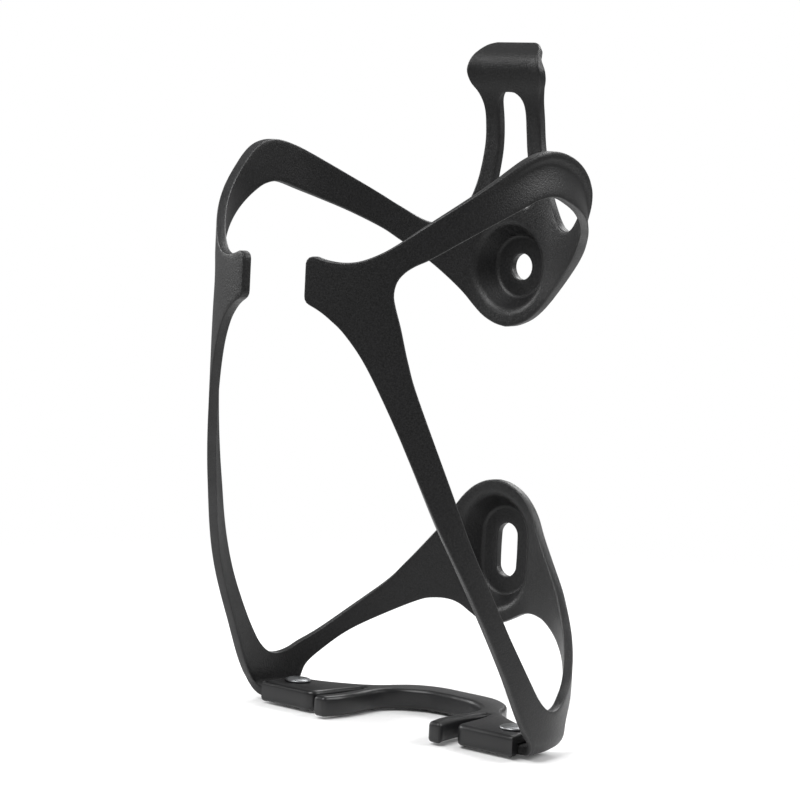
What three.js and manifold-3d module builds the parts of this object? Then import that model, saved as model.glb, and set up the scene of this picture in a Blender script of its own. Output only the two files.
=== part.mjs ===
// Water bottle cage for a bicycle frame.
//
// Millimetres, +Z up. The origin is the centre of the upper bolt hole, on the plane where the cage
// meets the bicycle frame. -Y points at the bottle, whose axis is upright at y = -BOTTLE_AXIS.
// The cage is one sheet of aluminium, cut to an outline, pressed and rolled round the bottle. The
// outline is drawn unrolled: across is the arc length from the middle of the back, up is the height.
import * as THREE from 'three';
import { mergeVertices } from 'three/addons/utils/BufferGeometryUtils.js';
import Module from 'manifold-3d';

const wasm = await Module();
wasm.setup();

// Driving dimensions
const SHEET = 2.0;
const BOTTLE_AXIS = 44;
const UNROLL_RADIUS = 38;
const BACK_FLAT = 37;
const BACK_BLEND = 0.8;
const BOLT_SPACING = 64;
const BOLT_HOLE = 5.9;
const BOLT_SLOT_LENGTH = 12.2;

// Round recess pressed round each bolt hole
const CUP_REACH = 11.2;
const CUP_DEPTH = BOTTLE_AXIS - SHEET - BACK_FLAT;
const CUP_RIM_RADIUS = 2.4;
const CUP_FILLET_RADIUS = 1.2;
const CUP_WALL_SLOPE = Math.PI / 3;
const CUP_SEGMENTS = 40;

// Bend at the foot of each side, and the tab turned in under the plastic base
const BEND_TOP = -95.6;
const BEND_RADIUS = 2.0;
const TAB_HEADING = 100;
const TAB_HALF_WIDTH = 4.4;

// Heights of the plastic base
const BASE_TOP = -95.4;
const BASE_BOTTOM = -100.0;
const BASE_EDGE = 0.9;
const TAB_CLEARANCE = 0.4;

// Rivets
const RIVET_X = 31.17;
const RIVET_Y = 8.44;
const RIVET_SHANK = 1.5;
const RIVET_HOLE = 1.8;
const RIVET_HEAD = 2.9;
const RIVET_DOME = 0.8;
const RIVET_TAIL = 2.4;
const RIVET_TAIL_HEIGHT = 0.8;
const RIVET_CLEARANCE = 0.1;

// Mesh fineness
const EDGE_STEP = 2.6;
const FACE_STEP = 4.6;

// Inner radius of the rolled sheet, against degrees round from the front: above and at the foot
const UPPER_RADIUS = smoothRows([
  [0, 37], [20, 36.9], [45, 36.8], [65, 37.2], [90, 38.0], [105, 38.4], [120, 38.2], [180, 38.2],
]);
const LOWER_RADIUS = smoothRows([
  [0, 37], [60, 38.1], [82, 38.5], [92, 39.2], [104, 40.0], [116, 40.0], [128, 39.6], [145, 39.0],
  [157, 38.1], [180, 38.1],
]);
const FLARE_START = 48;
const FLARE_END = 72;

// How far the top lever leans in over the neck of the bottle, against height
const LEVER_LEAN = smoothRows([
  [20, 0], [25, 0.25], [30, 0.6], [34.5, 1.3], [38, 2.6], [41, 4.3], [44, 5.3], [46.3, 4.8],
  [48, 3.2], [49.7, 0.9],
]);

// A smooth function through rows of [position, value]
function smoothRows(rows) {
  const curve = new THREE.CubicInterpolant(rows.map((row) => row[0]), rows.map((row) => row[1]), 1);
  return (position) => curve.evaluate(position)[0];
}

function smoothMinimum(a, b, blend) {
  const overlap = Math.max(blend - Math.abs(a - b), 0) / blend;
  return Math.min(a, b) - (overlap * overlap * blend) / 4;
}

function toVectors(points) {
  return points.map(([across, up]) => new THREE.Vector2(across, up));
}

// Points along a path, with each of its curves divided evenly
function samplePath(path, step) {
  const points = [];
  for (const curve of path.curves) {
    const count = Math.max(1, Math.ceil(curve.getLength() / step));
    points.push(...curve.getSpacedPoints(count).slice(0, -1));
  }
  points.push(path.curves.at(-1).getPoint(1));
  return points;
}

// The whole closed outline from its right half, which starts and ends on the middle line
function mirrorHalf(points) {
  const left = points.slice(1, -1).reverse().map((point) => new THREE.Vector2(-point.x, point.y));
  return [...points, ...left];
}

// Unrolled outline of the sheet -----------------------------------------------------------------

const RIVET_UP = BEND_TOP - 10.36;
const RIVET_ACROSS = 50.3;

function sheetEdge() {
  const edge = new THREE.Path();
  edge.moveTo(0, 49.7);
  edge.lineTo(5.4, 49.7);
  edge.splineThru(toVectors([
    [7.4, 49.1], [8.8, 47.4], [9.8, 45.0], [10.4, 42.6], [10.0, 40.2], [8.8, 38.2], [8.0, 35.6], [7.85, 32],
    [8.1, 27], [9.3, 21], [10.9, 16], [13.0, 12.2], [15.6, 9.6], [18.9, 8.7], [22.3, 9.4],
    [27, 11.9], [34.5, 16.1], [44.5, 21.2], [50.4, 23.9], [55, 25.3], [58.6, 25.7], [62, 25.2],
    [65.2, 24.0], [68.6, 22.0], [75.1, 17.5], [85.6, 10.4], [91.5, 6.2], [95.5, 3.7], [99.5, 2.0], [103.1, 1.5],
    [106.5, 1.8], [108.8, 2.4],
  ]));
  edge.quadraticCurveTo(110.7, 2.5, 110.9, 0.9);
  edge.lineTo(110.9, -5.6);
  edge.quadraticCurveTo(110.9, -6.9, 109.7, -7.4);
  edge.splineThru(toVectors([
    [107.6, -8.4], [105.2, -10.0], [102, -12.8], [97.8, -18.3], [92.9, -27.2], [87.9, -37.4],
    [82.2, -49.5], [77.4, -58.8], [71.5, -70.1], [65.4, -81.5], [61.2, -90], [58.9, -94.0],
  ]));
  edge.lineTo(56.8, -96.8);
  edge.lineTo(RIVET_ACROSS + TAB_HALF_WIDTH, -100.8);
  edge.lineTo(RIVET_ACROSS + TAB_HALF_WIDTH, RIVET_UP);
  edge.absarc(RIVET_ACROSS, RIVET_UP, TAB_HALF_WIDTH, 0, -Math.PI, true);
  edge.lineTo(RIVET_ACROSS - TAB_HALF_WIDTH, RIVET_UP + 4);
  edge.lineTo(44.4, BEND_TOP);
  edge.splineThru(toVectors([
    [43.3, -93], [39.9, -89.8], [34.2, -85.4], [26.4, -81.1], [18.9, -77.4], [15.5, -76.5],
    [12, -76.4], [9, -77.1], [6, -78.6], [3, -79.9], [0, -80.3],
  ]));
  return mirrorHalf(samplePath(edge, EDGE_STEP));
}

// Opening between the arms, the legs and the two plates
function windowEdge() {
  const edge = new THREE.Path();
  edge.moveTo(0, -13.4);
  edge.splineThru(toVectors([
    [3, -12.9], [6.4, -11.5], [9.2, -9.4], [13.2, -5.6], [20, -0.2], [27.8, 4.9], [31.8, 7.3],
    [38.9, 10.5], [46.3, 13.2], [51.5, 14.9], [55.5, 16.1], [58, 16.4], [60.5, 16.1], [64, 14.9],
    [72.8, 10.4], [79, 6.9], [85.5, 3.0], [88.5, 1.5], [90.6, 0.0], [92.0, -1.9], [92.5, -4.5],
    [92.0, -7], [90.8, -10.9], [89.0, -17.8], [86.5, -25.2], [77.6, -46.5], [73.1, -57], [66.6, -69.8],
    [61.9, -77.8], [57.5, -84.8], [55.2, -87.8], [52.8, -89.7], [50.3, -90.2], [47.6, -89.5],
    [45, -87.9], [41, -85.5], [35.1, -80.9], [26.9, -74.0], [22.5, -69.1], [17.3, -63.0], [13.8, -58.7],
    [11.1, -54.4], [8.9, -51.7], [6.3, -49.6], [3, -48.2], [0, -47.8],
  ]));
  return mirrorHalf(samplePath(edge, EDGE_STEP));
}

// Long slot that leaves the top lever on two legs
function leverSlotEdge() {
  const edge = new THREE.Path();
  edge.moveTo(0, 38.4);
  edge.splineThru(toVectors([
    [1.7, 38.2], [3.1, 37.0], [3.7, 35.0], [3.8, 30], [4.1, 25.5], [5.0, 20.7], [5.8, 16.8], [5.7, 14.6],
    [4.2, 13.2], [0, 12.9],
  ]));
  return mirrorHalf(samplePath(edge, EDGE_STEP));
}

// A ring round a hole or a slot, at the given distance from its middle line
function ringAround(centre, halfLength, reach, segments) {
  const ring = [];
  for (let i = 0; i < segments; i += 1) {
    const turn = ((i + 0.5) / segments) * 2 * Math.PI;
    const shift = halfLength * THREE.MathUtils.clamp(4 * Math.sin(turn), -1, 1);
    ring.push(new THREE.Vector2(
      centre.x + reach * Math.cos(turn),
      centre.y + shift + reach * Math.sin(turn),
    ));
  }
  return ring;
}

// Triangles in the flat -------------------------------------------------------------------------

function signedArea(a, b, c) {
  return ((b.x - a.x) * (c.y - a.y) - (c.x - a.x) * (b.y - a.y)) / 2;
}

function edgeKey(a, b) {
  return a < b ? `${a}_${b}` : `${b}_${a}`;
}

// Edges shared by two triangles, each with the triangles and the corners across from it
function innerEdges(triangles) {
  const edges = new Map();
  triangles.forEach((triangle, index) => {
    for (let i = 0; i < 3; i += 1) {
      const key = edgeKey(triangle[i], triangle[(i + 1) % 3]);
      if (!edges.has(key)) edges.set(key, { a: triangle[i], b: triangle[(i + 1) % 3], sides: [] });
      edges.get(key).sides.push({ index, across: triangle[(i + 2) % 3] });
    }
  });
  return [...edges.values()].filter((edge) => edge.sides.length === 2);
}

function angleAt(corner, a, b) {
  return a.clone().sub(corner).angleTo(b.clone().sub(corner));
}

// Turns shared edges round until no triangle pair would be better shaped with the other diagonal
function improveTriangles(points, triangles) {
  for (let pass = 0; pass < 40; pass += 1) {
    const touched = new Set();
    for (const { a, b, sides: [left, right] } of innerEdges(triangles)) {
      if (touched.has(left.index) || touched.has(right.index)) continue;
      const facing = angleAt(points[left.across], points[a], points[b])
        + angleAt(points[right.across], points[a], points[b]);
      if (facing <= Math.PI + 1e-6) continue;
      triangles[left.index] = [left.across, a, right.across];
      triangles[right.index] = [right.across, b, left.across];
      touched.add(left.index);
      touched.add(right.index);
    }
    if (touched.size === 0) return;
  }
}

// Halves the shared edges that are longer than the step, longest first
function splitLongEdges(points, triangles, step) {
  const length = (edge) => points[edge.a].distanceTo(points[edge.b]);
  const long = innerEdges(triangles).filter((edge) => length(edge) > step);
  long.sort((first, second) => length(second) - length(first));
  const touched = new Set();
  for (const { a, b, sides: [left, right] } of long) {
    if (touched.has(left.index) || touched.has(right.index)) continue;
    const middle = points.push(points[a].clone().lerp(points[b], 0.5)) - 1;
    triangles[left.index] = [a, middle, left.across];
    triangles[right.index] = [b, middle, right.across];
    triangles.push([middle, b, left.across], [middle, a, right.across]);
    touched.add(left.index);
    touched.add(right.index);
  }
  return long.length > 0;
}

function triangulate(contour, holes, step) {
  const points = [...contour, ...holes.flat()];
  const triangles = THREE.ShapeUtils.triangulateShape(contour, holes)
    .map(([a, b, c]) => (signedArea(points[a], points[b], points[c]) > 0 ? [a, b, c] : [a, c, b]));
  improveTriangles(points, triangles);
  while (splitLongEdges(points, triangles, step)) improveTriangles(points, triangles);
  return { points, triangles };
}

// The sheet in space ----------------------------------------------------------------------------

// Lowers a point of the side round the bend at its foot and in along the tab
function foldIn(point, side, run) {
  const middle = BEND_RADIUS + SHEET / 2;
  const turn = Math.min(run / middle, Math.PI / 2);
  const inward = BEND_RADIUS * (1 - Math.cos(turn)) + Math.max(run - (middle * Math.PI) / 2, 0);
  const heading = THREE.MathUtils.degToRad(TAB_HEADING);
  point.x -= side * Math.sin(heading) * inward;
  point.y += Math.cos(heading) * inward;
  point.z -= BEND_RADIUS * Math.sin(turn);
}

// A point on the face that the bottle touches
function bottleFace(across, up) {
  const back = across / UNROLL_RADIUS;
  const round = 180 - THREE.MathUtils.radToDeg(Math.abs(back));
  const height = Math.max(up, BEND_TOP);
  const flare = THREE.MathUtils.smoothstep(-height, FLARE_START, FLARE_END);
  let radius = THREE.MathUtils.lerp(UPPER_RADIUS(round), LOWER_RADIUS(round), flare);
  if (Math.abs(back) < 1) radius = smoothMinimum(radius, BACK_FLAT / Math.cos(back), BACK_BLEND);
  const point = new THREE.Vector3(
    radius * Math.sin(back),
    radius * Math.cos(back) - BOTTLE_AXIS - LEVER_LEAN(height),
    height,
  );
  if (up < BEND_TOP) foldIn(point, Math.sign(across), BEND_TOP - up);
  return point;
}

// The direction out of the sheet, away from the bottle
function awayFromBottle(across, up) {
  const nudge = 0.05;
  const sideways = bottleFace(across + nudge, up).sub(bottleFace(across - nudge, up));
  const upward = bottleFace(across, up + nudge).sub(bottleFace(across, up - nudge));
  return upward.cross(sideways).normalize();
}

// Rows of the pressed recess from its rim to its floor: reach from the middle, depth and slope
function cupProfile() {
  const wallDepth = CUP_DEPTH - (CUP_RIM_RADIUS + CUP_FILLET_RADIUS) * (1 - Math.cos(CUP_WALL_SLOPE));
  const rimRun = CUP_RIM_RADIUS * Math.sin(CUP_WALL_SLOPE);
  const filletRun = CUP_FILLET_RADIUS * Math.sin(CUP_WALL_SLOPE);
  const floorReach = CUP_REACH - rimRun - wallDepth / Math.tan(CUP_WALL_SLOPE) - filletRun;
  const rows = [];
  for (const part of [1 / 3, 2 / 3, 1]) {
    const slope = CUP_WALL_SLOPE * part;
    const depth = CUP_RIM_RADIUS * (1 - Math.cos(slope));
    rows.push({ reach: CUP_REACH - CUP_RIM_RADIUS * Math.sin(slope), depth, slope });
  }
  for (const part of [1, 1 / 2, 0]) {
    const slope = CUP_WALL_SLOPE * part;
    const depth = CUP_DEPTH - CUP_FILLET_RADIUS * (1 - Math.cos(slope));
    rows.push({ reach: floorReach + CUP_FILLET_RADIUS * Math.sin(slope), depth, slope });
  }
  rows.push({ reach: BOLT_HOLE / 2, depth: CUP_DEPTH, slope: 0 });
  return rows;
}

// A closed sheet: vertices in pairs, one on each face
class Sheet {
  constructor() {
    this.near = [];
    this.far = [];
    this.triangles = [];
  }

  addPair(near, far) {
    this.near.push(near);
    this.far.push(far);
    return this.near.length - 1;
  }

  addFlat({ points, triangles }) {
    for (const point of points) {
      const near = bottleFace(point.x, point.y);
      const far = near.clone().addScaledVector(awayFromBottle(point.x, point.y), SHEET);
      this.addPair(near, far);
    }
    this.triangles.push(...triangles);
  }

  addCup(centre, halfLength, rimIndex) {
    let outer = Array.from({ length: CUP_SEGMENTS }, (_, i) => rimIndex + i);
    for (const { reach, depth, slope } of cupProfile()) {
      const inner = ringAround(centre, halfLength, reach, CUP_SEGMENTS).map((point, i) => {
        const turn = ((i + 0.5) / CUP_SEGMENTS) * 2 * Math.PI;
        const near = bottleFace(point.x, point.y);
        near.y += depth;
        const away = awayFromBottle(point.x, point.y).multiplyScalar(Math.cos(slope));
        away.x += Math.sin(slope) * Math.cos(turn);
        away.z += Math.sin(slope) * Math.sin(turn);
        return this.addPair(near, near.clone().addScaledVector(away.normalize(), SHEET));
      });
      outer.forEach((corner, i) => {
        const next = (i + 1) % CUP_SEGMENTS;
        this.triangles.push([corner, outer[next], inner[next]], [corner, inner[next], inner[i]]);
      });
      outer = inner;
    }
  }

  toGeometry() {
    const offset = this.near.length;
    const index = [];
    const directed = new Set(this.triangles.flatMap(([a, b, c]) => [`${a}_${b}`, `${b}_${c}`, `${c}_${a}`]));
    for (const triangle of this.triangles) {
      const [a, b, c] = triangle;
      index.push(a, b, c, a + offset, c + offset, b + offset);
      for (let i = 0; i < 3; i += 1) {
        const from = triangle[i];
        const to = triangle[(i + 1) % 3];
        if (directed.has(`${to}_${from}`)) continue;
        index.push(to, from, from + offset, to, from + offset, to + offset);
      }
    }
    const geometry = new THREE.BufferGeometry().setFromPoints([...this.near, ...this.far]);
    geometry.setIndex(index);
    return geometry;
  }
}

function cageGeometry() {
  const cups = [
    { centre: new THREE.Vector2(0, 0), halfLength: 0 },
    { centre: new THREE.Vector2(0, -BOLT_SPACING), halfLength: (BOLT_SLOT_LENGTH - BOLT_HOLE) / 2 },
  ];
  const rims = cups.map(({ centre, halfLength }) => ringAround(centre, halfLength, CUP_REACH, CUP_SEGMENTS));
  const rivetHoles = [-1, 1].map((side) => (
    ringAround(new THREE.Vector2(side * RIVET_ACROSS, RIVET_UP), 0, RIVET_HOLE, 20)));
  const contour = sheetEdge();
  const flat = triangulate(contour, [...rims, windowEdge(), leverSlotEdge(), ...rivetHoles], FACE_STEP);
  const sheet = new Sheet();
  sheet.addFlat(flat);
  cups.forEach(({ centre, halfLength }, i) => {
    sheet.addCup(centre, halfLength, contour.length + i * CUP_SEGMENTS);
  });
  return sheet.toGeometry();
}

// Plastic base ----------------------------------------------------------------------------------

// Seen from above, measured from the bottle's axis
function baseEdge() {
  const edge = new THREE.Path();
  edge.moveTo(0, 31.4);
  edge.splineThru(toVectors([
    [6, 31.3], [10, 30.3], [13.6, 28], [16, 24.8], [17.8, 21.5], [20.6, 18.6], [24.5, 16.1], [29, 13.9],
    [34.4, 12.6],
  ]));
  edge.lineTo(36.2, 2.0);
  edge.lineTo(22.8, 2.0);
  edge.quadraticCurveTo(20.8, 2.0, 20.5, 3.8);
  edge.splineThru(toVectors([[20.2, 6], [19.7, 10], [19.1, 13], [18.5, 15.4]]));
  edge.quadraticCurveTo(18.2, 16.6, 17.6, 16.2);
  edge.splineThru(toVectors([[17.2, 14.5], [16.9, 11], [16.9, 7], [17.5, 3], [18.2, 0.8]]));
  edge.quadraticCurveTo(18.3, -0.3, 17.4, -0.3);
  edge.lineTo(15.8, -0.3);
  edge.quadraticCurveTo(15.0, -0.3, 14.8, 0.8);
  edge.splineThru(toVectors([
    [14.0, 4], [13.7, 8], [13.9, 12], [14.1, 15.2], [13.5, 18.4], [11.8, 21.1], [9, 23.2],
    [5.5, 24.7], [0, 25.2],
  ]));
  return mirrorHalf(samplePath(edge, EDGE_STEP));
}

function toSolid(geometry) {
  geometry.deleteAttribute('normal');
  geometry.deleteAttribute('uv');
  const merged = mergeVertices(geometry, 1e-4);
  return new wasm.Manifold(new wasm.Mesh({
    numProp: 3,
    vertProperties: new Float32Array(merged.attributes.position.array),
    triVerts: new Uint32Array(merged.index.array),
  }));
}

function toGeometry(solid) {
  const mesh = solid.getMesh();
  const geometry = new THREE.BufferGeometry();
  geometry.setAttribute('position', new THREE.BufferAttribute(mesh.vertProperties, 3));
  geometry.setIndex(new THREE.BufferAttribute(mesh.triVerts, 1));
  return geometry;
}

// Room for one tab under a pad, open below and towards the side of the cage
function tabPocket(side) {
  const heading = THREE.MathUtils.degToRad(TAB_HEADING);
  const outward = new THREE.Vector2(side * Math.sin(heading), -Math.cos(heading));
  const across = new THREE.Vector2(-outward.y, outward.x);
  const half = TAB_HALF_WIDTH + TAB_CLEARANCE;
  const centre = new THREE.Vector2(side * RIVET_X, RIVET_Y);
  const at = (out, aside) => centre.clone().addScaledVector(outward, out).addScaledVector(across, aside);
  const rim = [at(12, half), at(12, -half)];
  for (let i = 0; i <= 12; i += 1) {
    const turn = (i / 12) * Math.PI;
    rim.push(at(-half * Math.sin(turn), -half * Math.cos(turn)));
  }
  const ceiling = BEND_TOP - BEND_RADIUS + TAB_CLEARANCE / 2;
  const bottom = BASE_BOTTOM - 2;
  const pocket = new THREE.ExtrudeGeometry(new THREE.Shape(rim), {
    depth: ceiling - bottom, bevelEnabled: false,
  });
  pocket.translate(0, 0, bottom);
  return toSolid(pocket);
}

function rivetBore(side) {
  const length = 12;
  const bore = new THREE.CylinderGeometry(RIVET_HOLE, RIVET_HOLE, length, 24);
  bore.rotateX(Math.PI / 2);
  bore.translate(side * RIVET_X, RIVET_Y, BASE_TOP);
  return toSolid(bore);
}

function baseGeometry() {
  const block = new THREE.ExtrudeGeometry(new THREE.Shape(baseEdge()), {
    depth: BASE_TOP - BASE_BOTTOM - 2 * BASE_EDGE,
    bevelThickness: BASE_EDGE,
    bevelSize: BASE_EDGE,
    bevelOffset: -BASE_EDGE,
    bevelSegments: 2,
  });
  block.translate(0, 0, BASE_BOTTOM + BASE_EDGE);
  let base = toSolid(block);
  for (const side of [-1, 1]) {
    base = base.subtract(tabPocket(side)).subtract(rivetBore(side));
  }
  return toGeometry(base).translate(0, -BOTTLE_AXIS, 0);
}

// Rivets ----------------------------------------------------------------------------------------

function rivetGeometry() {
  const seat = BASE_TOP + RIVET_CLEARANCE;
  const tailTop = BEND_TOP - BEND_RADIUS - SHEET - RIVET_CLEARANCE;
  const tailBottom = tailTop - RIVET_TAIL_HEIGHT;
  const domeRadius = (RIVET_HEAD ** 2 + RIVET_DOME ** 2) / (2 * RIVET_DOME);
  const spread = Math.asin(RIVET_HEAD / domeRadius);
  const profile = [
    new THREE.Vector2(0, tailBottom),
    new THREE.Vector2(RIVET_TAIL - 0.4, tailBottom),
    new THREE.Vector2(RIVET_TAIL, tailBottom + 0.4),
    new THREE.Vector2(RIVET_TAIL, tailTop),
    new THREE.Vector2(RIVET_SHANK, tailTop),
    new THREE.Vector2(RIVET_SHANK, seat),
  ];
  for (let i = 0; i <= 4; i += 1) {
    const lean = spread * (1 - i / 4);
    const height = seat + RIVET_DOME - domeRadius * (1 - Math.cos(lean));
    profile.push(new THREE.Vector2(domeRadius * Math.sin(lean), height));
  }
  return new THREE.LatheGeometry(profile, 24).rotateX(Math.PI / 2);
}

// Assembly --------------------------------------------------------------------------------------

const blackCoat = new THREE.MeshStandardMaterial({ color: 0x17181a, roughness: 0.55, metalness: 0.3 });
const blackPlastic = new THREE.MeshStandardMaterial({ color: 0x101113, roughness: 0.35, metalness: 0 });
const rivetMetal = new THREE.MeshStandardMaterial({ color: 0xb9bcc0, roughness: 0.3, metalness: 1 });

function part(name, geometry, material) {
  const mesh = new THREE.Mesh(geometry, material.clone());
  mesh.name = name;
  return mesh;
}

const cage = new THREE.Group();
cage.add(part('cage_frame', cageGeometry(), blackCoat));
cage.add(part('bottle_rest', baseGeometry(), blackPlastic));
for (const [name, side] of [['rivet_left', -1], ['rivet_right', 1]]) {
  const rivet = part(name, rivetGeometry(), rivetMetal);
  rivet.position.set(side * RIVET_X, RIVET_Y - BOTTLE_AXIS, 0);
  cage.add(rivet);
}

export default cage;
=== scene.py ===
"""Water bottle cage: one bent sheet of black-coated aluminium, a plastic bottle rest and two rivets."""

import math

import bpy
import numpy as np
from mathutils import Matrix, Vector
from mathutils.geometry import delaunay_2d_cdt


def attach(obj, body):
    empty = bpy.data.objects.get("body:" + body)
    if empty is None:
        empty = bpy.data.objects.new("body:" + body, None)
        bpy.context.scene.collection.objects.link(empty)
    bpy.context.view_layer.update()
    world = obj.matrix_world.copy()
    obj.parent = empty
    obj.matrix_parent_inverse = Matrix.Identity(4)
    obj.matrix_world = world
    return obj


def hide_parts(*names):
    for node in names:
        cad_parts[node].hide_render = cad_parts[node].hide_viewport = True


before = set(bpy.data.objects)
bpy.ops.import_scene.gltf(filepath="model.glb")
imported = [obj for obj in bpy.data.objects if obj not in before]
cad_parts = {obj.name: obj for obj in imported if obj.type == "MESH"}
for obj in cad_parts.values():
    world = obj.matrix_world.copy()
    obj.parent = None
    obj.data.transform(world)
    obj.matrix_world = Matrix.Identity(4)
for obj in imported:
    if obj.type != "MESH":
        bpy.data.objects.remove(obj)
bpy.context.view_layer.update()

MM = 0.001

# Sheet and bottle, in millimetres
SHEET = 2.0
BOTTLE_AXIS = 44.0
UNROLL_RADIUS = 38.0
BACK_FLAT = 37.0
BACK_BLEND = 0.8
BOLT_SPACING = 64.0
BOLT_HOLE = 5.9
BOLT_SLOT_LENGTH = 12.2

# Pressed recess round each bolt hole
CUP_REACH = 11.2
CUP_DEPTH = BOTTLE_AXIS - SHEET - BACK_FLAT
CUP_RIM_RADIUS = 2.4
CUP_FILLET_RADIUS = 1.2
CUP_WALL_SLOPE = math.pi / 3
CUP_SEGMENTS = 96

# Bend and tab at the foot of each side
BEND_TOP = -95.6
BEND_RADIUS = 2.0
TAB_HEADING = math.radians(100)
TAB_HALF_WIDTH = 4.4

# Plastic bottle rest
BASE_TOP = -95.4
BASE_BOTTOM = -100.0
BASE_EDGE = 1.0
TAB_CLEARANCE = 0.4

# Rivets
RIVET_X = 31.17
RIVET_Y = 8.44
RIVET_SHANK = 1.5
RIVET_HOLE = 1.8
RIVET_HEAD = 2.9
RIVET_DOME = 0.8
RIVET_HEAD_RIM = 0.25
RIVET_HEAD_BEVEL = 0.06
RIVET_TAIL = 2.4
RIVET_TAIL_HEIGHT = 0.8
RIVET_TAIL_ROUND = 0.4
RIVET_TAIL_BEVEL = 0.12
RIVET_CLEARANCE = 0.1
RIVET_UP = BEND_TOP - 10.36
RIVET_ACROSS = 50.3

# Cutters of the bottle rest: the pocket's run out from its rivet, and how far they pass the rest's faces
POCKET_REACH = 12
POCKET_BELOW = 2
BORE_BELOW = 3
BORE_ABOVE = 1

# Mesh fineness
EDGE_STEP = 0.8
BASE_EDGE_STEP = 0.7
FACE_STEP = 0.85
EDGE_ROUND = 0.32
CORNER_SAMPLES = 17
ARC_SAMPLES = 49
KNOT_SAMPLES = 13
RIVET_SEGMENTS = 56
SAME_POINT = 1e-6
# Share of the lattice step that stays free beside a loop
LOOP_CLEARANCE = 0.55
# A lattice step so wide that a face gets no points inside it
NO_LATTICE = 1000.0
# Steeper edges than these stay sharp
CUT_SHARP_ANGLE = math.radians(40)
RIVET_SHARP_ANGLE = math.radians(50)


# Curves ----------------------------------------------------------------------------------------


def smooth_rows(rows):
    """A smooth function through rows of (position, value)."""
    at = [row[0] for row in rows]
    value = [row[1] for row in rows]
    last = len(rows) - 1

    def evaluate(position):
        if position <= at[0]:
            return value[0]
        if position >= at[last]:
            return value[last]
        i = next(k for k in range(1, last + 1) if position < at[k])
        start, end = at[i - 1], at[i]
        before, before_at = (value[i - 2], at[i - 2]) if i >= 2 else (value[i], end)
        after, after_at = (value[i + 1], at[i + 1]) if i < last else (value[i - 1], start)
        half = (end - start) / 2
        weight_before = half / (start - before_at)
        weight_after = half / (after_at - end)
        t = (position - start) / (end - start)
        return (
            before * weight_before * (-(t**3) + 2 * t**2 - t)
            + value[i - 1]
            * ((1 + weight_before) * t**3 - (1.5 + 2 * weight_before) * t**2 + (weight_before - 0.5) * t + 1)
            + value[i] * (-(1 + weight_after) * t**3 + (1.5 + weight_after) * t**2 + 0.5 * t)
            + after * weight_after * (t**3 - t**2)
        )

    return evaluate


def smooth_step(x, low, high):
    t = min(max((x - low) / (high - low), 0.0), 1.0)
    return t * t * (3 - 2 * t)


def smooth_minimum(a, b, blend):
    overlap = max(blend - abs(a - b), 0.0) / blend
    return min(a, b) - overlap * overlap * blend / 4


def spaced(points, step):
    """Points evenly spaced along a polyline, without its last point."""
    points = np.array(points, float)
    lengths = np.hypot(*np.diff(points, axis=0).T)
    along = np.concatenate([[0.0], np.cumsum(lengths)])
    count = max(1, math.ceil(along[-1] / step))
    wanted = np.linspace(0, along[-1], count + 1)[:-1]
    return list(zip(np.interp(wanted, along, points[:, 0]), np.interp(wanted, along, points[:, 1])))


class Path:
    """An outline of lines, curves and splines, sampled at an even step."""

    def __init__(self, start, step=EDGE_STEP):
        self.points = []
        self.end = start
        self.step = step

    def add(self, dense):
        self.points += spaced(dense, self.step)
        self.end = dense[-1]

    def line(self, *corners):
        for corner in corners:
            self.add([self.end, corner])

    def corner(self, control, end):
        start, control, end = (np.array(point) for point in (self.end, control, end))
        steps = np.linspace(0, 1, CORNER_SAMPLES)[:, None]
        dense = (1 - steps) ** 2 * start + 2 * steps * (1 - steps) * control + steps**2 * end
        self.add([tuple(point) for point in dense])

    def arc(self, centre, radius, first, last):
        turns = np.linspace(first, last, ARC_SAMPLES)
        self.add([(centre[0] + radius * math.cos(t), centre[1] + radius * math.sin(t)) for t in turns])

    def spline(self, knots):
        knots = np.array([self.end, *knots], float)
        last = len(knots) - 1
        dense = []
        for i in range(last):
            p0, p1, p2, p3 = (knots[min(max(k, 0), last)] for k in (i - 1, i, i + 1, i + 2))
            v1, v2 = (p2 - p0) / 2, (p3 - p1) / 2
            cubic = 2 * p1 - 2 * p2 + v1 + v2
            square = 3 * p2 - 3 * p1 - 2 * v1 - v2
            for t in np.linspace(0, 1, KNOT_SAMPLES)[:-1]:
                dense.append(cubic * t**3 + square * t**2 + v1 * t + p1)
        dense.append(knots[-1])
        self.add([tuple(point) for point in dense])

    def mirrored(self):
        """The whole closed outline from its right half, which starts and ends on the middle line."""
        half = [*self.points, self.end]
        return half + [(-x, y) for x, y in half[-2:0:-1]]


def turned(loop, counterclockwise):
    """The loop in the asked direction."""
    area = sum(a[0] * b[1] - b[0] * a[1] for a, b in zip(loop, [*loop[1:], loop[0]]))
    return loop if (area > 0) == counterclockwise else loop[::-1]


def inset(loop, distance):
    """The loop moved to its left."""
    points = np.array(loop)
    along = np.roll(points, -1, axis=0) - np.roll(points, 1, axis=0)
    along /= np.linalg.norm(along, axis=1)[:, None]
    return points + distance * np.stack([-along[:, 1], along[:, 0]], axis=1)


# Unrolled outline of the sheet -------------------------------------------------------------------


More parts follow.
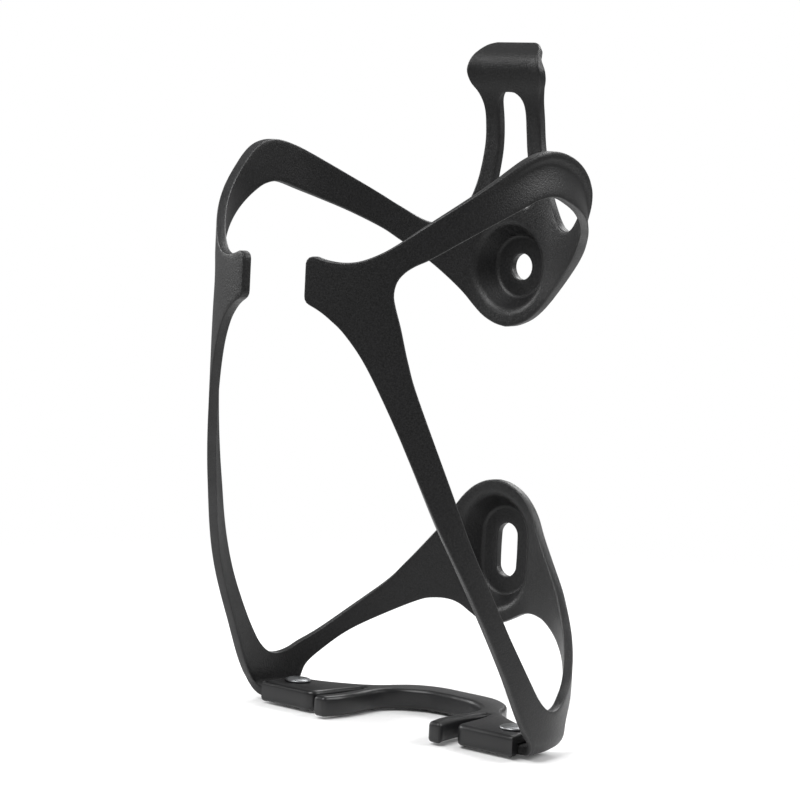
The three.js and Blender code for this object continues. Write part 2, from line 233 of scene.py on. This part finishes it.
def sheet_edge():
    edge = Path((0, 49.7))
    edge.line((5.4, 49.7))
    edge.spline([
        (7.4, 49.1), (8.8, 47.4), (9.8, 45.0), (10.4, 42.6), (10.0, 40.2), (8.8, 38.2), (8.0, 35.6),
        (7.85, 32), (8.1, 27), (9.3, 21), (10.9, 16), (13.0, 12.2), (15.6, 9.6), (18.9, 8.7), (22.3, 9.4),
        (27, 11.9), (34.5, 16.1), (44.5, 21.2), (50.4, 23.9), (55, 25.3), (58.6, 25.7), (62, 25.2),
        (65.2, 24.0), (68.6, 22.0), (75.1, 17.5), (85.6, 10.4), (91.5, 6.2), (95.5, 3.7), (99.5, 2.0),
        (103.1, 1.5), (106.5, 1.8), (108.8, 2.4),
    ])
    edge.corner((110.7, 2.5), (110.9, 0.9))
    edge.line((110.9, -5.6))
    edge.corner((110.9, -6.9), (109.7, -7.4))
    edge.spline([
        (107.6, -8.4), (105.2, -10.0), (102, -12.8), (97.8, -18.3), (92.9, -27.2), (87.9, -37.4),
        (82.2, -49.5), (77.4, -58.8), (71.5, -70.1), (65.4, -81.5), (61.2, -90), (58.9, -94.0),
    ])
    tab_outer, tab_inner = RIVET_ACROSS + TAB_HALF_WIDTH, RIVET_ACROSS - TAB_HALF_WIDTH
    edge.line((56.8, -96.8), (tab_outer, -100.8), (tab_outer, RIVET_UP))
    edge.arc((RIVET_ACROSS, RIVET_UP), TAB_HALF_WIDTH, 0, -math.pi)
    edge.line((tab_inner, RIVET_UP + 4), (44.4, BEND_TOP))
    edge.spline([
        (43.3, -93), (39.9, -89.8), (34.2, -85.4), (26.4, -81.1), (18.9, -77.4), (15.5, -76.5),
        (12, -76.4), (9, -77.1), (6, -78.6), (3, -79.9), (0, -80.3),
    ])
    return edge.mirrored()


def window_edge():
    edge = Path((0, -13.4))
    edge.spline([
        (3, -12.9), (6.4, -11.5), (9.2, -9.4), (13.2, -5.6), (20, -0.2), (27.8, 4.9), (31.8, 7.3),
        (38.9, 10.5), (46.3, 13.2), (51.5, 14.9), (55.5, 16.1), (58, 16.4), (60.5, 16.1), (64, 14.9),
        (72.8, 10.4), (79, 6.9), (85.5, 3.0), (88.5, 1.5), (90.6, 0.0), (92.0, -1.9), (92.5, -4.5),
        (92.0, -7), (90.8, -10.9), (89.0, -17.8), (86.5, -25.2), (77.6, -46.5), (73.1, -57),
        (66.6, -69.8), (61.9, -77.8), (57.5, -84.8), (55.2, -87.8), (52.8, -89.7), (50.3, -90.2),
        (47.6, -89.5), (45, -87.9), (41, -85.5), (35.1, -80.9), (26.9, -74.0), (22.5, -69.1),
        (17.3, -63.0), (13.8, -58.7), (11.1, -54.4), (8.9, -51.7), (6.3, -49.6), (3, -48.2), (0, -47.8),
    ])
    return edge.mirrored()


def lever_slot_edge():
    edge = Path((0, 38.4))
    edge.spline([
        (1.7, 38.2), (3.1, 37.0), (3.7, 35.0), (3.8, 30), (4.1, 25.5), (5.0, 20.7), (5.8, 16.8), (5.7, 14.6),
        (4.2, 13.2), (0, 12.9),
    ])
    return edge.mirrored()


def ring_around(centre, half_length, reach, segments=CUP_SEGMENTS):
    """A ring round a hole or a slot."""
    ring = []
    for i in range(segments):
        turn = (i + 0.5) / segments * 2 * math.pi
        shift = half_length * min(max(4 * math.sin(turn), -1), 1)
        ring.append((centre[0] + reach * math.cos(turn), centre[1] + shift + reach * math.sin(turn)))
    return ring


# The sheet in space ------------------------------------------------------------------------------

UPPER_RADIUS = smooth_rows([
    (0, 37), (20, 36.9), (45, 36.8), (65, 37.2), (90, 38.0), (105, 38.4), (120, 38.2), (180, 38.2),
])
LOWER_RADIUS = smooth_rows([
    (0, 37), (60, 38.1), (82, 38.5), (92, 39.2), (104, 40.0), (116, 40.0), (128, 39.6), (145, 39.0),
    (157, 38.1), (180, 38.1),
])
FLARE_START = 48
FLARE_END = 72

LEVER_LEAN = smooth_rows([
    (20, 0), (25, 0.25), (30, 0.6), (34.5, 1.3), (38, 2.6), (41, 4.3), (44, 5.3), (46.3, 4.8),
    (48, 3.2), (49.7, 0.9),
])

# Top edge of the arm over the shoulder, where the outer face has a proud rim
SHOULDER_TOP = smooth_rows([
    (22.3, 9.4), (27, 11.9), (34.5, 16.1), (44.5, 21.2), (50.4, 23.9), (55, 25.3), (58.6, 25.7),
    (62, 25.2), (65.2, 24.0), (68.6, 22.0), (75.1, 17.5),
])
SHOULDER_LIP = 0.35
SHOULDER_HOLLOW = 0.75
# Where the rim and the hollow rise and fade, across the sheet
SHOULDER_RISE = (26, 40)
SHOULDER_FADE = (62, 74)
# Where the rim ends and the hollow starts and ends, down from the top edge
LIP_END = (1.3, 2.4)
HOLLOW_START = (1.4, 2.5)
HOLLOW_END = (3.0, 9.5)


def thickness(across, up):
    """The sheet's thickness, with the rim of the shoulder left proud and the hollow under it pressed in."""
    across = abs(across)
    reach = smooth_step(across, *SHOULDER_RISE) * (1 - smooth_step(across, *SHOULDER_FADE))
    if reach <= 0 or up < 0:
        return SHEET
    down = SHOULDER_TOP(across) - up
    lip = SHOULDER_LIP * (1 - smooth_step(down, *LIP_END))
    hollow = SHOULDER_HOLLOW * smooth_step(down, *HOLLOW_START) * (1 - smooth_step(down, *HOLLOW_END))
    return SHEET + reach * (lip - hollow)


def fold_in(point, side, run):
    """Takes a point of the side round the bend at its foot and in along the tab."""
    middle = BEND_RADIUS + SHEET / 2
    turn = min(run / middle, math.pi / 2)
    inward = BEND_RADIUS * (1 - math.cos(turn)) + max(run - middle * math.pi / 2, 0)
    point[0] -= side * math.sin(TAB_HEADING) * inward
    point[1] += math.cos(TAB_HEADING) * inward
    point[2] -= BEND_RADIUS * math.sin(turn)


def bottle_face(across, up):
    """A point on the face that the bottle touches."""
    back = across / UNROLL_RADIUS
    around = 180 - math.degrees(abs(back))
    height = max(up, BEND_TOP)
    flare = smooth_step(-height, FLARE_START, FLARE_END)
    radius = UPPER_RADIUS(around) * (1 - flare) + LOWER_RADIUS(around) * flare
    if abs(back) < 1:
        radius = smooth_minimum(radius, BACK_FLAT / math.cos(back), BACK_BLEND)
    point = [
        radius * math.sin(back),
        radius * math.cos(back) - BOTTLE_AXIS - LEVER_LEAN(height),
        height,
    ]
    if up < BEND_TOP:
        fold_in(point, math.copysign(1, across), BEND_TOP - up)
    return Vector(point)


def away_from_bottle(across, up):
    nudge = 0.05
    sideways = bottle_face(across + nudge, up) - bottle_face(across - nudge, up)
    upward = bottle_face(across, up + nudge) - bottle_face(across, up - nudge)
    return upward.cross(sideways).normalized()


def cup_profile():
    """Rows of the recess from rim to floor: reach from the middle, depth and slope."""
    lost = (CUP_RIM_RADIUS + CUP_FILLET_RADIUS) * (1 - math.cos(CUP_WALL_SLOPE))
    wall_depth = CUP_DEPTH - lost
    rim_run = CUP_RIM_RADIUS * math.sin(CUP_WALL_SLOPE)
    fillet_run = CUP_FILLET_RADIUS * math.sin(CUP_WALL_SLOPE)
    floor_reach = CUP_REACH - rim_run - wall_depth / math.tan(CUP_WALL_SLOPE) - fillet_run
    rows = []
    for part in np.linspace(0, 1, 8)[1:]:
        slope = CUP_WALL_SLOPE * part
        reach = CUP_REACH - CUP_RIM_RADIUS * math.sin(slope)
        rows.append((reach, CUP_RIM_RADIUS * (1 - math.cos(slope)), slope))
    for part in np.linspace(1, 0, 6):
        slope = CUP_WALL_SLOPE * part
        reach = floor_reach + CUP_FILLET_RADIUS * math.sin(slope)
        rows.append((reach, CUP_DEPTH - CUP_FILLET_RADIUS * (1 - math.cos(slope)), slope))
    for reach in np.linspace(floor_reach, BOLT_HOLE / 2 + EDGE_ROUND, 4)[1:]:
        rows.append((reach, CUP_DEPTH, 0.0))
    return rows


def edge_rows(span, rounding, steps=3):
    """Rows round a cut edge, from one face to the other: inset from the edge, and depth."""
    turns = np.linspace(0, math.pi / 2, steps + 1)
    near = [(rounding * (1 - math.sin(t)), rounding * (1 - math.cos(t))) for t in turns]
    return near + [(across, span - depth) for across, depth in near[::-1]]


class Shell:
    """Vertices and faces of a closed mesh, with the vertices that lie on a cut edge marked."""

    def __init__(self):
        self.verts = []
        self.faces = []
        self.on_edge = []

    def add(self, point, on_edge=0.0):
        self.verts.append(point)
        self.on_edge.append(on_edge)
        return len(self.verts) - 1

    def band(self, first, second):
        count = len(first)
        for i in range(count):
            j = (i + 1) % count
            self.faces.append((first[j], first[i], second[i], second[j]))

    def build(self, name):
        mesh = bpy.data.meshes.new(name)
        mesh.from_pydata([Vector(point) * MM for point in self.verts], [], self.faces)
        # Marks the cut-edge vertices where the coat gets its painted highlight
        highlight_mask = mesh.attributes.new("painted_edge_highlight", "FLOAT", "POINT")
        highlight_mask.data.foreach_set("value", self.on_edge)
        mesh.shade_smooth()
        mesh.validate()
        piece = bpy.data.objects.new(name, mesh)
        bpy.context.scene.collection.objects.link(piece)
        return piece


def inside(points, loop):
    """Which points lie inside a loop."""
    x, y = points[:, 0][:, None], points[:, 1][:, None]
    a = np.array(loop)
    b = np.roll(a, -1, axis=0)
    crosses = (a[:, 1] > y) != (b[:, 1] > y)
    rise = np.where(b[:, 1] == a[:, 1], 1.0, b[:, 1] - a[:, 1])
    at = a[:, 0] + (y - a[:, 1]) / rise * (b[:, 0] - a[:, 0])
    return (crosses & (x < at)).sum(axis=1) % 2 == 1


def clear_of(points, loop, gap):
    """Which points are further than the gap from a loop's corners."""
    corners = np.array(loop)
    return np.array([np.hypot(*(corners - point).T).min() > gap for point in points], bool)


def lattice(outer, holes, step):
    """Evenly spread points between an outline and its holes."""
    low, high = np.min(outer, axis=0), np.max(outer, axis=0)
    rows = np.arange(low[1], high[1], step * math.sqrt(3) / 2)
    columns = np.arange(low[0], high[0], step)
    points = np.array([(x + (i % 2) * step / 2, y) for i, y in enumerate(rows) for x in columns])
    points = points[inside(points, outer)]
    for hole in holes:
        points = points[~inside(points, hole)]
    for loop in (outer, *holes):
        points = points[clear_of(points, loop, step * LOOP_CLEARANCE)]
    return [tuple(point) for point in points]


def fill(outer, holes, step):
    """Triangles between an outline and its holes: points, triangles and each loop's point numbers."""
    loops = [outer, *holes]
    corners = [tuple(point) for loop in loops for point in loop]
    starts = np.cumsum([0] + [len(loop) for loop in loops])
    edges = []
    for start, loop in zip(starts, loops):
        edges += [(start + i, start + (i + 1) % len(loop)) for i in range(len(loop))]
    spread = lattice(outer, holes, step)
    vertices = [Vector(point) for point in corners + spread]
    links = [(int(a), int(b)) for a, b in edges]
    made = delaunay_2d_cdt(vertices, links, [], 0, SAME_POINT)
    points = np.array([tuple(p) for p in made[0]])
    number = {source: i for i, sources in enumerate(made[3]) for source in sources}
    triangles = np.array([face for face in made[2] if len(face) == 3])
    middles = points[triangles].mean(axis=1)
    keep = inside(middles, outer)
    for hole in holes:
        keep &= ~inside(middles, hole)
    numbers = [[number[int(start) + i] for i in range(len(loop))] for start, loop in zip(starts, loops)]
    return points, [tuple(int(i) for i in t) for t in triangles[keep]], numbers


def cage_piece():
    cups = [((0, 0), 0.0), ((0, -BOLT_SPACING), (BOLT_SLOT_LENGTH - BOLT_HOLE) / 2)]
    rims = [ring_around(centre, half, CUP_REACH) for centre, half in cups]
    rivet_holes = [ring_around((side * RIVET_ACROSS, RIVET_UP), 0, RIVET_HOLE, 32) for side in (-1, 1)]
    cuts = [turned(sheet_edge(), True)]
    cuts += [turned(loop, False) for loop in (window_edge(), lever_slot_edge(), *rivet_holes)]
    shrunk = [inset(loop, EDGE_ROUND) for loop in cuts]
    points, triangles, numbers = fill(shrunk[0], [*shrunk[1:], *rims], FACE_STEP)

    shell = Shell()
    near, far = [], []
    for across, up in points:
        face = bottle_face(across, up)
        near.append(shell.add(face))
        far.append(shell.add(face + away_from_bottle(across, up) * thickness(across, up)))
    for a, b, c in triangles:
        shell.faces.append((near[a], near[b], near[c]))
        shell.faces.append((far[a], far[c], far[b]))

    for cut, loop in zip(cuts, numbers):
        row = [near[i] for i in loop]
        for across, depth in edge_rows(SHEET, EDGE_ROUND)[1:-1]:
            places = inset(cut, across)
            depths = [depth * thickness(*p) / SHEET for p in places]
            new = [shell.add(bottle_face(*p) + away_from_bottle(*p) * d, 1.0) for p, d in zip(places, depths)]
            shell.band(row, new)
            row = new
        shell.band(row, [far[i] for i in loop])

    for (centre, half), loop in zip(cups, numbers[len(cuts):]):
        add_cup(shell, centre, half, [near[i] for i in loop], [far[i] for i in loop])
    return shell.build("cage_sheet")


def add_cup(shell, centre, half_length, near_row, far_row):
    """Presses a recess inside a ring of the sheet, down to its bolt hole."""
    turns = [(i + 0.5) / CUP_SEGMENTS * 2 * math.pi for i in range(CUP_SEGMENTS)]
    for reach, depth, slope in cup_profile():
        near_new, far_new = [], []
        for turn, place in zip(turns, ring_around(centre, half_length, reach)):
            near = bottle_face(*place) + Vector((0, depth, 0))
            away = away_from_bottle(*place) * math.cos(slope)
            away += math.sin(slope) * Vector((math.cos(turn), 0, math.sin(turn)))
            near_new.append(shell.add(near))
            far_new.append(shell.add(near + away.normalized() * SHEET))
        shell.band(near_new, near_row)
        shell.band(far_row, far_new)
        near_row, far_row = near_new, far_new
    row = near_row
    for across, depth in edge_rows(SHEET, EDGE_ROUND)[1:-1]:
        new = []
        for place in ring_around(centre, half_length, BOLT_HOLE / 2 + across):
            new.append(shell.add(bottle_face(*place) + Vector((0, CUP_DEPTH + depth, 0)), 1.0))
        shell.band(new, row)
        row = new
    shell.band(far_row, row)


# Bottle rest -------------------------------------------------------------------------------------


def base_edge():
    """Seen from above, measured from the bottle's axis."""
    edge = Path((0, 31.4), BASE_EDGE_STEP)
    edge.spline([
        (6, 31.3), (10, 30.3), (13.6, 28), (16, 24.8), (17.8, 21.5), (20.6, 18.6), (24.5, 16.1),
        (29, 13.9), (34.4, 12.6),
    ])
    edge.line((36.2, 2.0), (22.8, 2.0))
    edge.corner((20.8, 2.0), (20.5, 3.8))
    edge.spline([(20.2, 6), (19.7, 10), (19.1, 13), (18.5, 15.4)])
    edge.corner((18.2, 16.6), (17.6, 16.2))
    edge.spline([(17.2, 14.5), (16.9, 11), (16.9, 7), (17.5, 3), (18.2, 0.8)])
    edge.corner((18.3, -0.3), (17.4, -0.3))
    edge.line((15.8, -0.3))
    edge.corner((15.0, -0.3), (14.8, 0.8))
    edge.spline([
        (14.0, 4), (13.7, 8), (13.9, 12), (14.1, 15.2), (13.5, 18.4), (11.8, 21.1), (9, 23.2),
        (5.5, 24.7), (0, 25.2),
    ])
    return edge.mirrored()


def prism(name, loop, bottom, top, rounding=0.0):
    """An upright block, with its top and bottom edges rounded where a rounding is given."""
    loop = turned(loop, True)
    shell = Shell()
    points, triangles, (numbers,) = fill([tuple(p) for p in inset(loop, rounding)], [], NO_LATTICE)
    caps = []
    for height in (bottom, top):
        caps.append([shell.add((x, y - BOTTLE_AXIS, height)) for x, y in points])
    for a, b, c in triangles:
        shell.faces.append((caps[0][a], caps[0][c], caps[0][b]))
        shell.faces.append((caps[1][a], caps[1][b], caps[1][c]))
    row = [caps[0][i] for i in numbers]
    if rounding:
        for across, up in edge_rows(top - bottom, rounding, 5)[1:-1]:
            new = [shell.add((x, y - BOTTLE_AXIS, bottom + up), 1.0) for x, y in inset(loop, across)]
            shell.band(new, row)
            row = new
    shell.band([caps[1][i] for i in numbers], row)
    return shell.build(name)


def tab_pocket_edge(side):
    outward = np.array([side * math.sin(TAB_HEADING), -math.cos(TAB_HEADING)])
    sideways = np.array([-outward[1], outward[0]])
    half = TAB_HALF_WIDTH + TAB_CLEARANCE
    centre = np.array([side * RIVET_X, RIVET_Y])
    places = [(POCKET_REACH, half), (POCKET_REACH, -half)]
    places += [(-half * math.sin(t), -half * math.cos(t)) for t in np.linspace(0, math.pi, 25)]
    return [tuple(centre + outward * out + sideways * aside) for out, aside in places]


def cut(piece, cutters):
    """Takes the cutters out of a piece."""
    for cutter in cutters:
        modifier = piece.modifiers.new("cut", "BOOLEAN")
        modifier.operation = "DIFFERENCE"
        modifier.solver = "EXACT"
        modifier.object = cutter
    depsgraph = bpy.context.evaluated_depsgraph_get()
    mesh = bpy.data.meshes.new_from_object(piece.evaluated_get(depsgraph))
    piece.modifiers.clear()
    piece.data = mesh
    for cutter in cutters:
        bpy.data.objects.remove(cutter)
    mesh.shade_smooth()
    mesh.set_sharp_from_angle(angle=CUT_SHARP_ANGLE)


def base_piece():
    rest = prism("bottle_rest_body", base_edge(), BASE_BOTTOM, BASE_TOP, BASE_EDGE)
    cutters = []
    for side in (-1, 1):
        ceiling = BEND_TOP - BEND_RADIUS + TAB_CLEARANCE / 2
        cutters.append(prism("pocket", tab_pocket_edge(side), BASE_BOTTOM - POCKET_BELOW, ceiling))
        bore = [(x + side * RIVET_X, y + RIVET_Y) for x, y in ring_around((0, 0), 0, RIVET_HOLE, 48)]
        cutters.append(prism("bore", bore, BASE_BOTTOM - BORE_BELOW, BASE_TOP + BORE_ABOVE))
    cut(rest, cutters)
    return rest


# Rivets ------------------------------------------------------------------------------------------


def rivet_piece(name, side):
    seat = BASE_TOP + RIVET_CLEARANCE
    tail_top = BEND_TOP - BEND_RADIUS - SHEET - RIVET_CLEARANCE
    tail_bottom = tail_top - RIVET_TAIL_HEIGHT
    rim = seat + RIVET_HEAD_RIM
    profile = [
        (RIVET_TAIL - RIVET_TAIL_ROUND, tail_bottom),
        (RIVET_TAIL - RIVET_TAIL_BEVEL, tail_bottom + RIVET_TAIL_BEVEL),
        (RIVET_TAIL, tail_bottom + RIVET_TAIL_ROUND),
        (RIVET_TAIL, tail_top),
        (RIVET_SHANK, tail_top),
        (RIVET_SHANK, seat),
        (RIVET_HEAD - RIVET_HEAD_BEVEL, seat),
        (RIVET_HEAD, seat + RIVET_HEAD_BEVEL),
        (RIVET_HEAD, rim),
    ]
    dome = RIVET_DOME - RIVET_HEAD_RIM
    for lean in np.linspace(0, math.pi / 2, 12)[1:-1]:
        profile.append((RIVET_HEAD * math.cos(lean), rim + dome * math.sin(lean)))
    shell = Shell()
    bottom = shell.add((side * RIVET_X, RIVET_Y - BOTTLE_AXIS, tail_bottom))
    row = None
    for radius, height in profile:
        new = []
        for i in range(RIVET_SEGMENTS):
            turn = 2 * math.pi * i / RIVET_SEGMENTS
            x = side * RIVET_X + radius * math.cos(turn)
            y = RIVET_Y - BOTTLE_AXIS + radius * math.sin(turn)
            new.append(shell.add((x, y, height)))
        if row is None:
            shell.faces += [(bottom, new[(i + 1) % RIVET_SEGMENTS], new[i]) for i in range(RIVET_SEGMENTS)]
        else:
            shell.band(new, row)
        row = new
    top = shell.add((side * RIVET_X, RIVET_Y - BOTTLE_AXIS, seat + RIVET_DOME))
    shell.faces += [(top, row[i], row[(i + 1) % RIVET_SEGMENTS]) for i in range(RIVET_SEGMENTS)]
    piece = shell.build(name)
    piece.data.set_sharp_from_angle(angle=RIVET_SHARP_ANGLE)
    return piece


# Materials ---------------------------------------------------------------------------------------

COAT_DARK = (0.0035, 0.0035, 0.0037)
# Paler colour painted along the cut edges: a painted highlight
COAT_EDGE_HIGHLIGHT = (0.034, 0.034, 0.035)
PLASTIC_DARK = (0.006, 0.006, 0.0065)
PLASTIC_PALE = (0.011, 0.011, 0.012)
METAL_DARK = (0.30, 0.31, 0.32)
METAL_PALE = (0.46, 0.47, 0.48)


class Nodes:
    """A short way to write a material's nodes."""

    def __init__(self, name, **values):
        self.material = bpy.data.materials.new(name)
        self.material.use_nodes = True
        self.tree = self.material.node_tree
        self.shader = self.tree.nodes["Principled BSDF"]
        for socket, value in values.items():
            self.shader.inputs[socket.replace("_", " ")].default_value = value
        self.place = self.node("ShaderNodeTexCoord").outputs["Object"]

    def node(self, kind, **settings):
        made = self.tree.nodes.new(kind)
        for key, value in settings.items():
            setattr(made, key, value)
        return made

    def link(self, output, to):
        self.tree.links.new(output, to)

    def noise(self, scale, detail=2.0):
        noise = self.node("ShaderNodeTexNoise")
        noise.inputs["Scale"].default_value = scale
        noise.inputs["Detail"].default_value = detail
        self.link(self.place, noise.inputs["Vector"])
        return noise.outputs["Fac"]

    def span(self, value, low, high, start=0.3, end=0.7):
        span = self.node("ShaderNodeMapRange")
        span.inputs["From Min"].default_value = start
        span.inputs["From Max"].default_value = end
        span.inputs["To Min"].default_value = low
        span.inputs["To Max"].default_value = high
        self.link(value, span.inputs["Value"])
        return span.outputs["Result"]

    def ramp(self, value, low, high):
        mix = self.node("ShaderNodeMix", data_type="RGBA")
        mix.inputs[6].default_value = (*low, 1)
        mix.inputs[7].default_value = (*high, 1)
        self.link(value, mix.inputs[0])
        return mix.outputs[2]

    def math(self, operation, a, b):
        node = self.node("ShaderNodeMath", operation=operation)
        for socket, value in zip(node.inputs, (a, b)):
            if isinstance(value, float):
                socket.default_value = value
            else:
                self.link(value, socket)
        return node.outputs[0]

    def bump(self, height, strength, distance, normal=None):
        bump = self.node("ShaderNodeBump")
        bump.inputs["Strength"].default_value = strength
        bump.inputs["Distance"].default_value = distance
        self.link(height, bump.inputs["Height"])
        if normal:
            self.link(normal, bump.inputs["Normal"])
        return bump.outputs["Normal"]


def black_coat():
    """Satin black powder coat: fine grain, a faint orange peel, and a painted highlight along the cut edges.
    """
    m = Nodes("black_coat", Specular_IOR_Level=0.42)
    grain = m.noise(2800.0, 3.0)
    peel = m.noise(420.0, 1.0)
    patches = m.noise(45.0, 3.0)
    highlight_mask = m.node("ShaderNodeAttribute", attribute_name="painted_edge_highlight").outputs["Fac"]
    # Paler patches along the cut edges: a painted highlight
    painted_highlight = m.math("MULTIPLY", highlight_mask, m.span(m.noise(160.0, 3.0), 0.1, 0.7))
    # Colour: random grain tone plus the painted edge highlight
    grain_and_highlight = m.math("ADD", m.math("MULTIPLY", m.span(grain, 0.0, 1.0), 0.35), m.math("MULTIPLY", painted_highlight, 0.65))
    m.link(m.ramp(grain_and_highlight, COAT_DARK, COAT_EDGE_HIGHLIGHT), m.shader.inputs["Base Color"])
    rough = m.math("ADD", m.span(patches, 0.40, 0.47), m.span(grain, -0.05, 0.06))
    m.link(m.math("SUBTRACT", rough, m.math("MULTIPLY", painted_highlight, 0.08)), m.shader.inputs["Roughness"])
    normal = m.bump(grain, 0.8, 0.0001)
    m.link(m.bump(peel, 0.18, 0.00012, normal), m.shader.inputs["Normal"])
    return m.material


def black_plastic():
    """Moulded black plastic: smooth and glossier than the coat, with faint flow marks."""
    m = Nodes("black_plastic", Specular_IOR_Level=0.5)
    flow = m.noise(60.0, 2.0)
    fine = m.noise(1500.0, 2.0)
    m.link(m.ramp(m.span(flow, 0.0, 1.0), PLASTIC_DARK, PLASTIC_PALE), m.shader.inputs["Base Color"])
    m.link(m.math("ADD", m.span(flow, 0.32, 0.44), m.span(fine, -0.02, 0.03)), m.shader.inputs["Roughness"])
    normal = m.bump(fine, 0.12, 0.00004)
    m.link(m.bump(flow, 0.10, 0.0004, normal), m.shader.inputs["Normal"])
    return m.material


def rivet_metal():
    """Bright rivet: bare aluminium with a soft satin from the press and small marks."""
    m = Nodes("rivet_metal", Metallic=1.0)
    marks = m.noise(900.0, 4.0)
    cloud = m.noise(240.0, 2.0)
    m.link(m.ramp(m.span(cloud, 0.0, 1.0), METAL_DARK, METAL_PALE), m.shader.inputs["Base Color"])
    m.link(m.span(marks, 0.30, 0.45), m.shader.inputs["Roughness"])
    m.link(m.bump(marks, 0.2, 0.00004), m.shader.inputs["Normal"])
    return m.material


# Stage -------------------------------------------------------------------------------------------

# The photograph's camera, solved with the bolt holes 64 mm apart and mirrored halves. Lengths in millimetres
VIEW_AZIMUTH = math.radians(41.021)
VIEW_ELEVATION = math.radians(4.98)
VIEW_ROLL = math.radians(2.82)
VIEW_ASIDE = 1.879
VIEW_HEIGHT = -28.511
VIEW_DISTANCE = 584.653
LENS = 123.35
SENSOR = 36.0

# Lights, in metres, and the height in millimetres that they look at
LIGHT_DISTANCE = 0.9
LIGHT_AIM_HEIGHT = -25
SURROUND_STRENGTH = 0.26

# Floor: half its side and its fade in metres, and its drop in millimetres under the bottle rest, which
# leaves room for the rivets' tails
FLOOR_REACH = 3.0
FLOOR_FADE_START = 0.10
FLOOR_FADE_END = 0.28
FLOOR_DROP = 0.55


def add_camera():
    ahead = Vector((math.cos(VIEW_AZIMUTH), math.sin(VIEW_AZIMUTH), 0))
    back = Vector((
        math.sin(VIEW_AZIMUTH) * math.cos(VIEW_ELEVATION),
        -math.cos(VIEW_AZIMUTH) * math.cos(VIEW_ELEVATION),
        math.sin(VIEW_ELEVATION),
    ))
    upward = back.cross(ahead)
    right = ahead * math.cos(VIEW_ROLL) + upward * math.sin(VIEW_ROLL)
    up = upward * math.cos(VIEW_ROLL) - ahead * math.sin(VIEW_ROLL)
    target = Vector((ahead.x * VIEW_ASIDE, ahead.y * VIEW_ASIDE - BOTTLE_AXIS, VIEW_HEIGHT))
    data = bpy.data.cameras.new("camera")
    data.lens = LENS
    data.sensor_width = SENSOR
    data.clip_start = 0.01
    camera = bpy.data.objects.new("camera", data)
    turn = Matrix((right, up, back)).transposed().to_4x4()
    camera.matrix_world = Matrix.Translation((target + back * VIEW_DISTANCE) * MM) @ turn
    bpy.context.scene.collection.objects.link(camera)
    bpy.context.scene.camera = camera


def add_light(name, azimuth, elevation, size, power):
    """A soft box that looks at the middle of the cage. Azimuth 0 is in front, 90 to the right."""
    azimuth, elevation = math.radians(azimuth), math.radians(elevation)
    out = Vector((
        math.sin(azimuth) * math.cos(elevation),
        -math.cos(azimuth) * math.cos(elevation),
        math.sin(elevation),
    ))
    data = bpy.data.lights.new(name, "AREA")
    data.shape = "SQUARE"
    data.size = size
    data.energy = power
    light = bpy.data.objects.new(name, data)
    aim = Vector((0, -BOTTLE_AXIS, LIGHT_AIM_HEIGHT)) * MM
    turn = out.to_track_quat("Z", "Y").to_matrix().to_4x4()
    light.matrix_world = Matrix.Translation(aim + out * LIGHT_DISTANCE) @ turn
    bpy.context.scene.collection.objects.link(light)


def add_floor():
    """A pale floor that fades into the white surround."""
    mesh = bpy.data.meshes.new("floor")
    reach, rest = FLOOR_REACH, (BASE_BOTTOM - FLOOR_DROP) * MM
    corners = [(-reach, -reach, rest), (reach, -reach, rest), (reach, reach, rest), (-reach, reach, rest)]
    mesh.from_pydata(corners, [], [(0, 1, 2, 3)])
    floor = bpy.data.objects.new("floor", mesh)
    bpy.context.scene.collection.objects.link(floor)
    m = Nodes("floor_white", Base_Color=(0.93, 0.93, 0.93, 1), Roughness=0.9, Specular_IOR_Level=0.1)
    away = m.node("ShaderNodeVectorMath", operation="LENGTH")
    m.link(m.place, away.inputs[0])
    fade = m.span(away.outputs["Value"], 0.0, 1.0, FLOOR_FADE_START, FLOOR_FADE_END)
    clear = m.node("ShaderNodeBsdfTransparent")
    mix = m.node("ShaderNodeMixShader")
    m.link(fade, mix.inputs[0])
    m.link(m.shader.outputs[0], mix.inputs[1])
    m.link(clear.outputs[0], mix.inputs[2])
    m.link(mix.outputs[0], m.tree.nodes["Material Output"].inputs["Surface"])
    mesh.materials.append(m.material)


def add_world():
    """White where the camera looks, and a weaker light from all round."""
    world = bpy.data.worlds.new("studio")
    bpy.context.scene.world = world
    world.use_nodes = True
    tree = world.node_tree
    light = tree.nodes["Background"]
    light.inputs["Color"].default_value = (1, 1, 1, 1)
    light.inputs["Strength"].default_value = SURROUND_STRENGTH
    seen = tree.nodes.new("ShaderNodeBackground")
    seen.inputs["Color"].default_value = (1, 1, 1, 1)
    seen.inputs["Strength"].default_value = 1.0
    path = tree.nodes.new("ShaderNodeLightPath")
    mix = tree.nodes.new("ShaderNodeMixShader")
    tree.links.new(path.outputs["Is Camera Ray"], mix.inputs[0])
    tree.links.new(light.outputs[0], mix.inputs[1])
    tree.links.new(seen.outputs[0], mix.inputs[2])
    tree.links.new(mix.outputs[0], tree.nodes["World Output"].inputs["Surface"])


# Assembly ----------------------------------------------------------------------------------------


def place(piece, node, slot, material):
    piece.data.materials.clear()
    piece.data.materials.append(material)
    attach(piece, "root")
    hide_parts(node)


place(cage_piece(), "cage_frame", "black_coat", black_coat())
place(base_piece(), "bottle_rest", "black_plastic", black_plastic())
metal = rivet_metal()
for name, side in (("rivet_left", -1), ("rivet_right", 1)):
    place(rivet_piece(name + "_head", side), name, "rivet_metal", metal)

add_camera()
add_world()
add_floor()
add_light("key", azimuth=0, elevation=55, size=0.5, power=7.5)
add_light("side", azimuth=128, elevation=32, size=0.4, power=4.5)
add_light("left", azimuth=-75, elevation=20, size=0.4, power=4.0)
add_light("back", azimuth=-165, elevation=38, size=0.5, power=4.0)
bpy.context.scene.view_settings.view_transform = "Standard"
